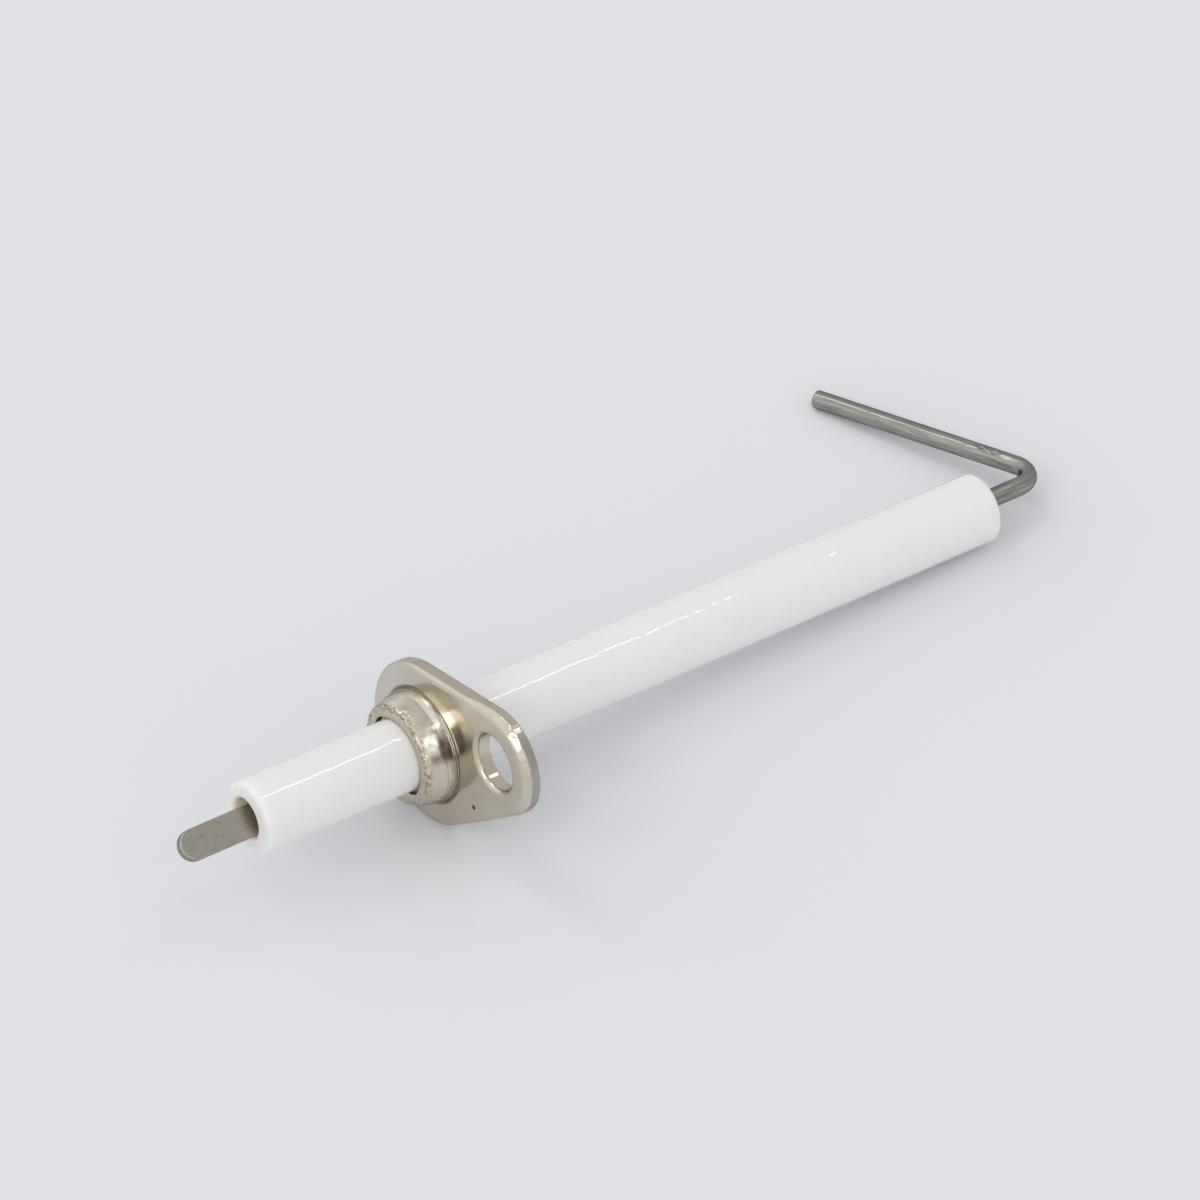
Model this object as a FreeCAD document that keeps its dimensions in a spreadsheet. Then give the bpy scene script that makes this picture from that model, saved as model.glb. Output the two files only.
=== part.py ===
import FreeCAD, Part

import math
import os

import Sketcher

# Ignition electrode.  Millimetres and degrees.
#
# Frame: the origin is where the tube's axis crosses the flange's mounting face.
# +X runs along the tube to the spark end, -Y goes through the flange's screw hole,
# +Z is up.  The blade for the ignition lead is at the -X end.

# alias: (value, what it is)
DIMENSIONS = {
    # insulator
    "tube_diameter": (6.0, "outside of the ceramic tube"),
    "tube_to_spark": (54.9, "mounting face to the tube's spark end"),
    "tube_to_terminal": (17.7, "mounting face to the tube's terminal end"),
    "tube_end_radius": (0.3, "rounding of both ends of the tube"),
    "rod_bore_diameter": (2.4, "bore for the electrode rod"),
    "counterbore_diameter": (3.8, "wide bore around the blade's joint"),
    "counterbore_depth": (12.0, "wide bore, from the terminal end"),
    "bore_mouth_chamfer": (0.1, "chamfer at both mouths of the bore"),
    "seat_to_face": (1.9, "mounting face to the collar's seat, a ring groove"),
    "seat_width": (2.2, "seat, from there to just clear of the rim"),
    "seat_depth": (0.3, "seat, below the tube's outside"),
    # mounting flange
    "plate_thickness": (1.4, "sheet that the flange is pressed from"),
    "tube_lobe_radius": (6.8, "outline around the tube"),
    "screw_lobe_radius": (4.4, "outline around the screw hole"),
    "screw_hole_offset": (9.9, "tube's axis to the screw hole's centre"),
    "screw_hole_diameter": (4.6, "clearance hole for an M4 screw"),
    "front_edge_radius": (0.4, "die roll along the outline's front edge"),
    "back_edge_radius": (0.15, "broken edge of the mounting face"),
    "hole_edge_radius": (0.2, "broken edge of the screw hole's front"),
    "collar_height": (2.5, "drawn collar, above the plate's front"),
    "collar_shoulder": (0.8, "straight part of the collar"),
    "collar_root_diameter": (9.5, "outside of the collar's straight part"),
    "collar_rim_diameter": (8.3, "outside of the crimped rim"),
    "collar_throat_diameter": (7.6, "inside of the collar's straight part"),
    "rim_bore_diameter": (6.2, "inside of the crimped rim"),
    "rim_edge_radius": (0.2, "rounding of the crimped rim"),
    "draw_radius": (1.2, "rounding from the mounting face into the collar"),
    # electrode rod
    "rod_diameter": (1.6, "electrode wire"),
    "rod_to_crimp": (12.4, "mounting face to the rod's inner end"),
    "rod_to_bend": (59.4, "mounting face to the start of the bend"),
    "bend_radius": (2.0, "bend, on the wire's centre line"),
    "bend_angle": (110.0, "turn of the bend"),
    "leg_length": (19.5, "straight leg past the bend"),
    "leg_roll": (20.4, "leg's angle about the tube, up from +Y"),
    "rod_end_chamfer": (0.15, "cropped edge at both ends of the rod"),
    # blade terminal
    "blade_width": (2.5, "male blade"),
    "blade_thickness": (0.8, "male blade"),
    "blade_set_back": (0.1, "blade's middle plane, down from the barrel's axis"),
    "blade_to_tip": (23.9, "mounting face to the blade's nose"),
    "blade_to_barrel": (13.2, "mounting face to the blade's crimp barrel"),
    "blade_root": (0.5, "blade's reach into the barrel"),
    "blade_edge_chamfer": (0.08, "broken edge of the blade's outline"),
    "blade_roll": (68.0, "blade's width about the tube, up from +Y"),
    "barrel_diameter": (2.5, "outside of the crimp barrel"),
    "barrel_length": (4.6, "crimp barrel on the rod's inner end"),
    # line of the rod and blade in the tube
    "wire_tilt": (0.36, "rise of that line towards the spark end"),
    "wire_drop": (0.05, "its drop below the axis at the mounting face"),
    # fillings
    "packing_to_face": (1.2, "mounting face to the collar's packing"),
    "packing_length": (2.2, "packing inside the collar"),
    "terminal_cement_recess": (4.3, "tube's terminal end to its cement"),
    "spark_cement_recess": (0.25, "tube's spark end to its cement"),
    "spark_cement_length": (2.5, "cement at the spark end"),
}

CLOSE = 1e-4  # how near a measured edge has to be to the one looked for

doc = FreeCAD.newDocument("ignition_electrode")


# ---------------------------------------------------------------- sheet

def fill_sheet():
    """Write every driving dimension into the sheet under its own alias."""
    dims = doc.addObject("Spreadsheet::Sheet", "dims")
    for row, (alias, (value, meaning)) in enumerate(DIMENSIONS.items(), start=1):
        dims.set(f"A{row}", alias)
        dims.set(f"B{row}", str(value))
        dims.setAlias(f"B{row}", alias)
        dims.set(f"C{row}", meaning)
    doc.recompute()
    return dims


sheet = fill_sheet()


def size(alias):
    """A driving dimension, read back from the sheet."""
    return float(sheet.get(alias))


# ---------------------------------------------------------------- helpers

def new_body(name):
    body = doc.addObject("PartDesign::Body", name)
    body.Label = name
    return body


def new_sketch(body, name, role, offset=None):
    """A sketch on one of the body's origin planes, moved along its normal."""
    plane = next(item for item in body.Origin.OriginFeatures if item.Role == role)
    sketch = body.newObject("Sketcher::SketchObject", name)
    sketch.AttachmentSupport = [(plane, "")]
    sketch.MapMode = "FlatFace"
    if offset:
        sketch.setExpression("AttachmentOffset.Base.z", offset)
    return sketch


def bind(sketch, expression, drawn, kind, *where):
    """Add a constraint at its drawn value, then drive it from the sheet."""
    index = sketch.addConstraint(Sketcher.Constraint(kind, *where, drawn))
    sketch.renameConstraint(index, f"size_{index}")
    sketch.setExpression(f"Constraints.size_{index}", expression)


def relate(sketch, kind, *where):
    """Add a constraint that has no value."""
    sketch.addConstraint(Sketcher.Constraint(kind, *where))


def draw_polygon(sketch, corners):
    """A closed outline of straight lines through pairs of expressions."""
    count = len(corners)
    turn = 2 * math.pi / count
    rough = [FreeCAD.Vector(math.cos(k * turn), math.sin(k * turn), 0) for k in range(count)]
    for k in range(count):
        sketch.addGeometry(Part.LineSegment(rough[k], rough[(k + 1) % count]))
    for k in range(count):
        relate(sketch, "Coincident", k, 2, (k + 1) % count, 1)
    for k, (across, along) in enumerate(corners):
        bind(sketch, across, rough[k].x, "DistanceX", -1, 1, k, 1)
        bind(sketch, along, rough[k].y, "DistanceY", -1, 1, k, 1)


def draw_circle(sketch, radius, centre_across="0"):
    """A circle with its centre on the sketch's horizontal axis."""
    circle = Part.Circle()
    index = sketch.addGeometry(circle)
    bind(sketch, radius, circle.Radius, "Radius", index)
    bind(sketch, centre_across, 0.0, "DistanceX", -1, 1, index, 3)
    bind(sketch, "0", 0.0, "DistanceY", -1, 1, index, 3)


def turned(body, kind, name, sketch):
    """A Revolution or Groove of a sketch about its horizontal axis."""
    feature = body.newObject(kind, name)
    feature.Profile = sketch
    feature.ReferenceAxis = (sketch, ["H_Axis"])
    feature.Angle = 360
    doc.recompute()
    return feature


def dressed(body, kind, name, base, edges, prop, expression):
    """A Fillet or Chamfer on named edges of the feature before it."""
    feature = body.newObject(kind, name)
    feature.Base = (base, edges)
    feature.setExpression(prop, expression)
    doc.recompute()
    return feature


def edges_where(feature, test):
    """Names of a feature's edges that pass a test."""
    found = [f"Edge{k}" for k, edge in enumerate(feature.Shape.Edges, start=1) if test(edge)]
    if not found:
        raise RuntimeError(f"{feature.Name}: no such edge")
    return found


def is_ring(edge, radius, x):
    """True for a round edge about the X axis with this radius, at this x."""
    curve = edge.Curve
    return (isinstance(curve, Part.Circle) and abs(curve.Radius - radius) < CLOSE
            and abs(curve.Center.x - x) < CLOSE)


def must_cut(before, after):
    if after.Shape.Volume >= before.Shape.Volume - CLOSE:
        raise RuntimeError(f"{after.Name} removed nothing")


def lie_along_wire(piece, roll):
    """Set a piece on the rod's line, turned about that line."""
    tilt = FreeCAD.Rotation(FreeCAD.Vector(0, 1, 0), -size("wire_tilt"))
    turn = FreeCAD.Rotation(FreeCAD.Vector(1, 0, 0), size(roll))
    piece.Placement = FreeCAD.Placement(FreeCAD.Vector(0, 0, -size("wire_drop")), tilt * turn)


def axial_cylinder(name, radius, start, length):
    """A cylinder along +X from start, all three sizes being expressions."""
    cylinder = doc.addObject("Part::Cylinder", name)
    cylinder.Placement.Rotation = FreeCAD.Rotation(FreeCAD.Vector(0, 1, 0), 90)
    cylinder.setExpression("Radius", radius)
    cylinder.setExpression("Height", length)
    cylinder.setExpression("Placement.Base.x", start)
    return cylinder


def cut_from(name, base, tools):
    """What is left of base after every tool is cut from it, as one object."""
    for k, tool in enumerate(tools, start=1):
        result = doc.addObject("Part::Cut", f"{name}_cut_{k}")
        result.Base = base
        result.Tool = tool
        doc.recompute()
        must_cut(base, result)
        base = result
    base.Label = name
    return base


# ---------------------------------------------------------------- insulator

def make_insulator():
    """Ceramic tube: through bore, counterbore, collar's seat, rounded ends."""
    body = new_body("insulator")
    terminal, spark = "-dims.tube_to_terminal", "dims.tube_to_spark"
    outside, bore = "dims.tube_diameter / 2", "dims.rod_bore_diameter / 2"
    wide_bore = "dims.counterbore_diameter / 2"
    step = "dims.counterbore_depth - dims.tube_to_terminal"

    section = new_sketch(body, "tube_section", "XY_Plane")
    draw_polygon(section, [
        (terminal, wide_bore), (step, wide_bore), (step, bore),
        (spark, bore), (spark, outside), (terminal, outside),
    ])
    tube = turned(body, "PartDesign::Revolution", "tube", section)

    near, far = "-dims.seat_to_face", "-(dims.seat_to_face + dims.seat_width)"
    floor = "dims.tube_diameter / 2 - dims.seat_depth"
    above = "dims.tube_diameter / 2 + dims.seat_depth"
    seat_section = new_sketch(body, "seat_section", "XY_Plane")
    draw_polygon(seat_section, [(far, floor), (near, floor), (near, above), (far, above)])
    seat = turned(body, "PartDesign::Groove", "collar_seat", seat_section)
    must_cut(tube, seat)

    radius = size("tube_diameter") / 2
    ends = (-size("tube_to_terminal"), size("tube_to_spark"))
    outer = edges_where(seat, lambda edge: any(is_ring(edge, radius, x) for x in ends))
    rounded = dressed(body, "PartDesign::Fillet", "end_rounding", seat, outer,
                      "Radius", "dims.tube_end_radius")

    mouths = ((size("counterbore_diameter") / 2, ends[0]), (size("rod_bore_diameter") / 2, ends[1]))
    inner = edges_where(rounded, lambda edge: any(is_ring(edge, r, x) for r, x in mouths))
    dressed(body, "PartDesign::Chamfer", "bore_mouths", rounded, inner,
            "Size", "dims.bore_mouth_chamfer")
    return body


# ---------------------------------------------------------------- flange

def draw_plate_outline(sketch):
    """Two unequal lobes joined by tangent lines; across is Y, along is Z."""
    big, small = size("tube_lobe_radius"), size("screw_lobe_radius")
    reach = size("screw_hole_offset")
    lean = math.pi / 2 + math.asin((big - small) / reach)
    normal = FreeCAD.Vector(0, 0, 1)
    tube_circle = Part.Circle(FreeCAD.Vector(0, 0, 0), normal, big)
    screw_circle = Part.Circle(FreeCAD.Vector(-reach, 0, 0), normal, small)
    tube_lobe = Part.ArcOfCircle(tube_circle, -lean, lean)
    screw_lobe = Part.ArcOfCircle(screw_circle, lean, 2 * math.pi - lean)
    upper = Part.LineSegment(tube_lobe.EndPoint, screw_lobe.StartPoint)
    lower = Part.LineSegment(screw_lobe.EndPoint, tube_lobe.StartPoint)
    for piece in (tube_lobe, upper, screw_lobe, lower):
        sketch.addGeometry(piece)
    for k in range(4):
        relate(sketch, "Tangent", k, 2, (k + 1) % 4, 1)
    relate(sketch, "Coincident", 0, 3, -1, 1)
    relate(sketch, "PointOnObject", 2, 3, -1)
    bind(sketch, "dims.tube_lobe_radius", big, "Radius", 0)
    bind(sketch, "dims.screw_lobe_radius", small, "Radius", 2)
    bind(sketch, "-dims.screw_hole_offset", -reach, "DistanceX", -1, 1, 2, 3)


def on_outline(edge, x):
    """True for an edge of the plate's outline in the plane at this x."""
    if any(abs(vertex.X - x) > CLOSE for vertex in edge.Vertexes):
        return False
    if isinstance(edge.Curve, Part.Line):
        return True
    lobes = (size("tube_lobe_radius"), size("screw_lobe_radius"))
    return any(abs(edge.Curve.Radius - radius) < CLOSE for radius in lobes)


def make_flange():
    """Pressed plate with a screw hole and a drawn collar, crimped at its rim."""
    body = new_body("mounting_flange")
    outline = new_sketch(body, "plate_outline", "YZ_Plane")
    draw_plate_outline(outline)
    plate = body.newObject("PartDesign::Pad", "plate")
    plate.Profile = outline
    plate.Reversed = True
    plate.setExpression("Length", "dims.plate_thickness")
    doc.recompute()

    behind, plate_middle = "dims.plate_thickness", "-dims.plate_thickness / 2"
    shoulder = "-(dims.plate_thickness + dims.collar_shoulder)"
    rim = "-(dims.plate_thickness + dims.collar_height)"
    beyond = f"{rim} - 1"
    collar_section = new_sketch(body, "collar_section", "XY_Plane")
    draw_polygon(collar_section, [
        (plate_middle, "0"), (plate_middle, "dims.collar_root_diameter / 2"),
        (shoulder, "dims.collar_root_diameter / 2"), (rim, "dims.collar_rim_diameter / 2"),
        (rim, "0"),
    ])
    collar = turned(body, "PartDesign::Revolution", "collar", collar_section)

    opening_section = new_sketch(body, "opening_section", "XY_Plane")
    throat, rim_bore = "dims.collar_throat_diameter / 2", "dims.rim_bore_diameter / 2"
    draw_polygon(opening_section, [
        (behind, "0"), (behind, throat), (shoulder, throat),
        (rim, rim_bore), (beyond, rim_bore), (beyond, "0"),
    ])
    opening = turned(body, "PartDesign::Groove", "collar_opening", opening_section)
    must_cut(collar, opening)

    hole_circle = new_sketch(body, "screw_hole_circle", "YZ_Plane")
    draw_circle(hole_circle, "dims.screw_hole_diameter / 2", "-dims.screw_hole_offset")
    hole = body.newObject("PartDesign::Pocket", "screw_hole")
    hole.Profile = hole_circle
    hole.Type = "ThroughAll"
    doc.recompute()
    must_cut(opening, hole)
    return dress_flange(body, hole)


def dress_flange(body, last):
    """Round the pressed edges, the draw into the collar and the rim."""
    front = -size("plate_thickness")
    rim = front - size("collar_height")
    roundings = [
        ("front_edge", "front_edge_radius", lambda edge: on_outline(edge, front)),
        ("back_edge", "back_edge_radius", lambda edge: on_outline(edge, 0)),
        ("hole_edge", "hole_edge_radius",
         lambda edge: is_ring(edge, size("screw_hole_diameter") / 2, front)),
        ("draw", "draw_radius",
         lambda edge: is_ring(edge, size("collar_throat_diameter") / 2, 0)),
        ("rim_edges", "rim_edge_radius",
         lambda edge: is_ring(edge, size("collar_rim_diameter") / 2, rim)
         or is_ring(edge, size("rim_bore_diameter") / 2, rim)),
    ]
    for name, radius, test in roundings:
        last = dressed(body, "PartDesign::Fillet", name, last, edges_where(last, test),
                       "Radius", f"dims.{radius}")
    return body


# ---------------------------------------------------------------- rod and blade

def draw_rod_path(sketch):
    """Straight run along X, one bend, and the straight leg."""
    start, bend = -size("rod_to_crimp"), size("rod_to_bend")
    radius, angle = size("bend_radius"), math.radians(size("bend_angle"))
    circle = Part.Circle(FreeCAD.Vector(bend, radius, 0), FreeCAD.Vector(0, 0, 1), radius)
    corner = Part.ArcOfCircle(circle, -math.pi / 2, angle - math.pi / 2)
    leg = FreeCAD.Vector(math.cos(angle), math.sin(angle), 0) * size("leg_length")
    sketch.addGeometry(Part.LineSegment(FreeCAD.Vector(start, 0, 0), corner.StartPoint))
    sketch.addGeometry(corner)
    sketch.addGeometry(Part.LineSegment(corner.EndPoint, corner.EndPoint + leg))
    relate(sketch, "Tangent", 0, 2, 1, 1)
    relate(sketch, "Tangent", 1, 2, 2, 1)
    relate(sketch, "PointOnObject", 0, 1, -1)
    relate(sketch, "Horizontal", 0)
    bind(sketch, "-dims.rod_to_crimp", start, "DistanceX", -1, 1, 0, 1)
    bind(sketch, "dims.rod_to_bend", bend, "DistanceX", -1, 1, 0, 2)
    bind(sketch, "dims.bend_radius", radius, "Radius", 1)
    bind(sketch, "dims.bend_angle * 1 deg", angle, "Angle", 2)
    bind(sketch, "dims.leg_length", leg.Length, "Distance", 2)


def make_rod():
    """Round wire swept along its path, cropped at both ends."""
    body = new_body("electrode_rod")
    path = new_sketch(body, "rod_path", "XY_Plane")
    draw_rod_path(path)
    section = new_sketch(body, "rod_section", "YZ_Plane", "-dims.rod_to_crimp")
    draw_circle(section, "dims.rod_diameter / 2")
    doc.recompute()

    wire = body.newObject("PartDesign::AdditivePipe", "wire")
    wire.Profile = section
    wire.Spine = (path, ["Edge1", "Edge2", "Edge3"])
    doc.recompute()

    bend = math.radians(size("bend_angle")) * size("bend_radius")
    length = size("rod_to_crimp") + size("rod_to_bend") + bend + size("leg_length")
    volume = math.pi * (size("rod_diameter") / 2) ** 2 * length
    if abs(wire.Shape.Volume - volume) > volume * CLOSE:
        raise RuntimeError("the rod's volume isn't its section times its length")

    ends = [face for face in wire.Shape.Faces if isinstance(face.Surface, Part.Plane)]
    rings = edges_where(wire, lambda edge: any(edge.isSame(face.Edges[0]) for face in ends))
    dressed(body, "PartDesign::Chamfer", "cropped_ends", wire, rings,
            "Size", "dims.rod_end_chamfer")
    lie_along_wire(body, "leg_roll")
    return body


def draw_blade_outline(sketch):
    """Parallel sides and a full-radius nose; across is the rod's line."""
    half = size("blade_width") / 2
    nose = -size("blade_to_tip") + half
    root = size("blade_root") - size("blade_to_barrel")
    circle = Part.Circle(FreeCAD.Vector(nose, 0, 0), FreeCAD.Vector(0, 0, 1), half)
    arc = Part.ArcOfCircle(circle, math.pi / 2, 3 * math.pi / 2)
    corners = [FreeCAD.Vector(root, -half, 0), FreeCAD.Vector(root, half, 0)]
    sketch.addGeometry(arc)
    sketch.addGeometry(Part.LineSegment(arc.EndPoint, corners[0]))
    sketch.addGeometry(Part.LineSegment(corners[0], corners[1]))
    sketch.addGeometry(Part.LineSegment(corners[1], arc.StartPoint))
    relate(sketch, "Tangent", 0, 2, 1, 1)
    relate(sketch, "Coincident", 1, 2, 2, 1)
    relate(sketch, "Coincident", 2, 2, 3, 1)
    relate(sketch, "Tangent", 3, 2, 0, 1)
    relate(sketch, "PointOnObject", 0, 3, -1)
    relate(sketch, "Vertical", 2)
    relate(sketch, "Horizontal", 1)
    bind(sketch, "dims.blade_width / 2", half, "Radius", 0)
    bind(sketch, "dims.blade_width / 2 - dims.blade_to_tip", nose, "DistanceX", -1, 1, 0, 3)
    bind(sketch, "dims.blade_root - dims.blade_to_barrel", root, "DistanceX", -1, 1, 2, 1)


def make_blade():
    """Flat male blade with a crimp barrel for the rod's inner end."""
    body = new_body("blade_terminal")
    outline = new_sketch(body, "blade_outline", "XY_Plane", "-dims.blade_set_back")
    draw_blade_outline(outline)
    blade = body.newObject("PartDesign::Pad", "blade")
    blade.Profile = outline
    blade.SideType = "Symmetric"
    blade.setExpression("Length", "dims.blade_thickness")
    doc.recompute()

    faces = size("blade_thickness") / 2
    middle = -size("blade_set_back")
    barrel_start = -size("blade_to_barrel")
    rim = edges_where(blade, lambda edge: all(
        abs(abs(vertex.Z - middle) - faces) < CLOSE and vertex.X < barrel_start + size("blade_root") - CLOSE
        for vertex in edge.Vertexes[:1]) and edge.BoundBox.ZLength < CLOSE)
    broken = dressed(body, "PartDesign::Chamfer", "blade_edges", blade, rim,
                     "Size", "dims.blade_edge_chamfer")

    ring = new_sketch(body, "barrel_ring", "YZ_Plane", "-dims.blade_to_barrel")
    draw_circle(ring, "dims.barrel_diameter / 2")
    draw_circle(ring, "dims.rod_diameter / 2")
    barrel = body.newObject("PartDesign::Pad", "crimp_barrel")
    barrel.Profile = ring
    barrel.setExpression("Length", "dims.barrel_length")
    doc.recompute()
    if barrel.Shape.Volume <= broken.Shape.Volume:
        raise RuntimeError("the crimp barrel added nothing")
    lie_along_wire(body, "blade_roll")
    return body


# ---------------------------------------------------------------- fillings

def make_packing(insulator, flange):
    """Ring squeezed between the collar and the tube, down into the tube's seat."""
    start = "-(dims.packing_to_face + dims.packing_length)"
    blank = axial_cylinder("packing_blank", "dims.collar_throat_diameter / 2 + 0.1",
                           start, "dims.packing_length")
    core = axial_cylinder("packing_core", "dims.tube_diameter / 2 - dims.seat_depth",
                          start, "dims.packing_length")
    return cut_from("collar_packing", blank, [core, flange, insulator])


def make_terminal_cement(rod, blade):
    """Potting in the counterbore, up to the blade's crimp barrel."""
    blank = axial_cylinder("terminal_cement_blank", "dims.counterbore_diameter / 2",
                           "dims.terminal_cement_recess - dims.tube_to_terminal",
                           "dims.counterbore_depth - dims.terminal_cement_recess")
    return cut_from("terminal_cement", blank, [blade, rod])


def make_spark_cement(rod):
    """Seal between the rod and the bore at the spark end."""
    start = "dims.tube_to_spark - dims.spark_cement_recess - dims.spark_cement_length"
    blank = axial_cylinder("spark_cement_blank", "dims.rod_bore_diameter / 2",
                           start, "dims.spark_cement_length")
    return cut_from("spark_end_cement", blank, [rod])


# ---------------------------------------------------------------- build and write

def check_document(pieces):
    """Stop if any feature failed or any piece isn't one valid solid."""
    for item in doc.Objects:
        if "Invalid" in item.State or "Error" in item.State:
            raise RuntimeError(f"{item.Name} failed: {item.State}")
    for piece in pieces:
        shape = piece.Shape
        if shape.isNull() or not shape.isValid() or len(shape.Solids) != 1:
            raise RuntimeError(f"{piece.Label} isn't one valid solid")


def write_parts(pieces):
    os.makedirs("parts", exist_ok=True)
    for piece in pieces:
        piece.Shape.exportStep(f"parts/{piece.Label}.step")
        print(f"{piece.Label}: {piece.Shape.Volume:.2f} mm3")


def main():
    insulator = make_insulator()
    flange = make_flange()
    rod = make_rod()
    blade = make_blade()
    doc.recompute()
    packing = make_packing(insulator, flange)
    terminal_cement = make_terminal_cement(rod, blade)
    spark_cement = make_spark_cement(rod)
    doc.recompute()
    pieces = [insulator, flange, rod, blade, packing, terminal_cement, spark_cement]
    check_document(pieces)
    write_parts(pieces)


main()
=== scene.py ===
import math

import bmesh
import bpy
import numpy as np
from mathutils import Matrix, Vector, noise


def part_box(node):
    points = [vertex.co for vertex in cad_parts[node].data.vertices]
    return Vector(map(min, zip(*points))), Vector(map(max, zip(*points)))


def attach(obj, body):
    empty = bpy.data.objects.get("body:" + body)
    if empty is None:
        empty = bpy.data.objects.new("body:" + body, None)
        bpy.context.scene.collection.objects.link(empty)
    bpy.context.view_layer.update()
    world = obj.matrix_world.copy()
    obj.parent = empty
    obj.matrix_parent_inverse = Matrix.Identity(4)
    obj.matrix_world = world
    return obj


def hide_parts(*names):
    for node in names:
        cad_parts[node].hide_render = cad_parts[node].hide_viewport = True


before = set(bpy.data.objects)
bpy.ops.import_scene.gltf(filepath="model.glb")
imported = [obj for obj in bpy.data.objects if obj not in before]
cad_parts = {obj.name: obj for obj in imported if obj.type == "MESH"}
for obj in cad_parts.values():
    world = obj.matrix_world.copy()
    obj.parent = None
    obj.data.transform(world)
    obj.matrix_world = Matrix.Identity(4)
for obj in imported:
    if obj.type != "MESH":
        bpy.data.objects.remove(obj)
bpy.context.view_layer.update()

# An ignition electrode: a glazed ceramic tube crimped in a two-lobed nickel flange, with a bent
# spark wire at one end and a blade terminal at the other. Shapes are worked out in millimetres in
# the row frame (tube along X, flange face at x = 0) and written to the meshes in metres.

MM = 0.001
SCENE = bpy.context.scene

TUBE_R = 3.0
TUBE_END_RADIUS = 0.45
FRONT_END_RADIUS = 0.3
MOUTH_SHIFT = 0.4  # the counterbore sits off centre, toward +Y
BORE_R = 1.2
COUNTERBORE_R = 1.62
COUNTERBORE_DEPTH = 12.0
MOUTH_CHAMFER = 0.36
TUBE_STEP = 0.15  # between the profile's points along the outside
SEAT = (-3.6, -1.9, 2.7)  # start, end and floor radius of the collar's seat, its start under the lip

# shallow pinholes in the glaze: place along the tube, turn up from -Y in degrees, and depth
PINHOLES = (
    (47.2, 44.2, 0.011), (48.2, 44.8, 0.012), (40.1, 44.5, 0.014), (37.8, 44.0, 0.012),
    (35.0, 45.5, 0.010), (12.5, 71.0, 0.012), (-9.0, 100.0, 0.012), (24.0, -35.0, 0.014),
    (29.0, 190.0, 0.014), (-12.0, 230.0, 0.014))
PINHOLE_WIDTH = 0.28

PLATE_FRONT = -1.4
LOBE_R = 6.8
EAR_R = 4.4
HOLE_Y = -9.9
HOLE_R = 2.3
EDGE_ROLL = 0.45  # width of the ear's worn front edge, and the CAD solid's rounding there
CAD_EDGE_ROLL = 0.4
HOLE_ROLL = 0.4  # the same at the screw hole
CAD_HOLE_ROLL = 0.2
COLLAR_ROOT_R = 4.75
COLLAR_START = -1.5  # where the collar's wall begins
COLLAR_RISE = 2.4
COLLAR_STRAIGHT = 0.7  # the straight part of the CAD solid's wall, and the slope of its cone
COLLAR_CONE = 0.353
DRAFT_ROOT = 0.14  # slope of the drawn wall at its root and at its rim
DRAFT_RIM = 0.36
PIT = (PLATE_FRONT, -5.46, -4.36)  # the small pit in the plate

WIRE_R = 0.8
WIRE_START = -12.4
BEND_START = 59.4
BEND_R = 2.0
BEND_ANGLE = math.radians(110)
LEG = 19.5
LEG_ROLL = math.radians(20.4)
WIRE_TILT = math.radians(0.36)
WIRE_DROP = 0.05

# nicks past the bend: place along the leg, turn about the wire, length, width and depth, which
# is below zero for a raised burr
NICKS = (
    (3.2, 1.25, 0.18, 0.30, 0.12), (2.85, 1.3, 0.14, 0.25, -0.06), (1.9, 1.1, 0.18, 0.30, 0.13),
    (1.6, 1.2, 0.12, 0.25, -0.05), (4.6, 1.2, 0.25, 0.25, 0.04), (0.8, 1.0, 0.5, 0.2, 0.03))

BLADE_ROLL = math.radians(68)  # the blade's width about the tube, up from +Y
BLADE_NOSE = -22.6  # where the blade's nose begins

SKIN = 0.06  # voxel of the flange's and the blade's skin


# ---------------------------------------------------------------- mesh helpers

def box_mm(node):
    low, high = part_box(node)
    return np.array(low) / MM, np.array(high) / MM


def new_piece(name, points, faces, smooth=True):
    """An object from points in mm and faces, linked to the scene, its mesh in metres."""
    mesh = bpy.data.meshes.new(name)
    mesh.from_pydata((np.asarray(points) * MM).tolist(), [], faces)
    mesh.validate()
    mesh.update()
    if smooth:
        mesh.shade_smooth()
    piece = bpy.data.objects.new(name, mesh)
    SCENE.collection.objects.link(piece)
    return piece


def points_of(piece):
    """The piece's points in mm and its vertex normals."""
    count = len(piece.data.vertices)
    points = np.empty(count * 3)
    piece.data.vertices.foreach_get("co", points)
    normals = np.empty(count * 3)
    piece.data.vertices.foreach_get("normal", normals)
    return points.reshape(-1, 3) / MM, normals.reshape(-1, 3)


def write_points(piece, points):
    piece.data.vertices.foreach_set("co", (points * MM).ravel())
    piece.data.update()


def write_mask(piece, name, values):
    """Keeps a number from 0 to 1 at every vertex for the material."""
    layer = piece.data.attributes.new(name, "FLOAT", "POINT")
    layer.data.foreach_set("value", np.clip(values, 0, 1).astype(np.float32))


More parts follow.
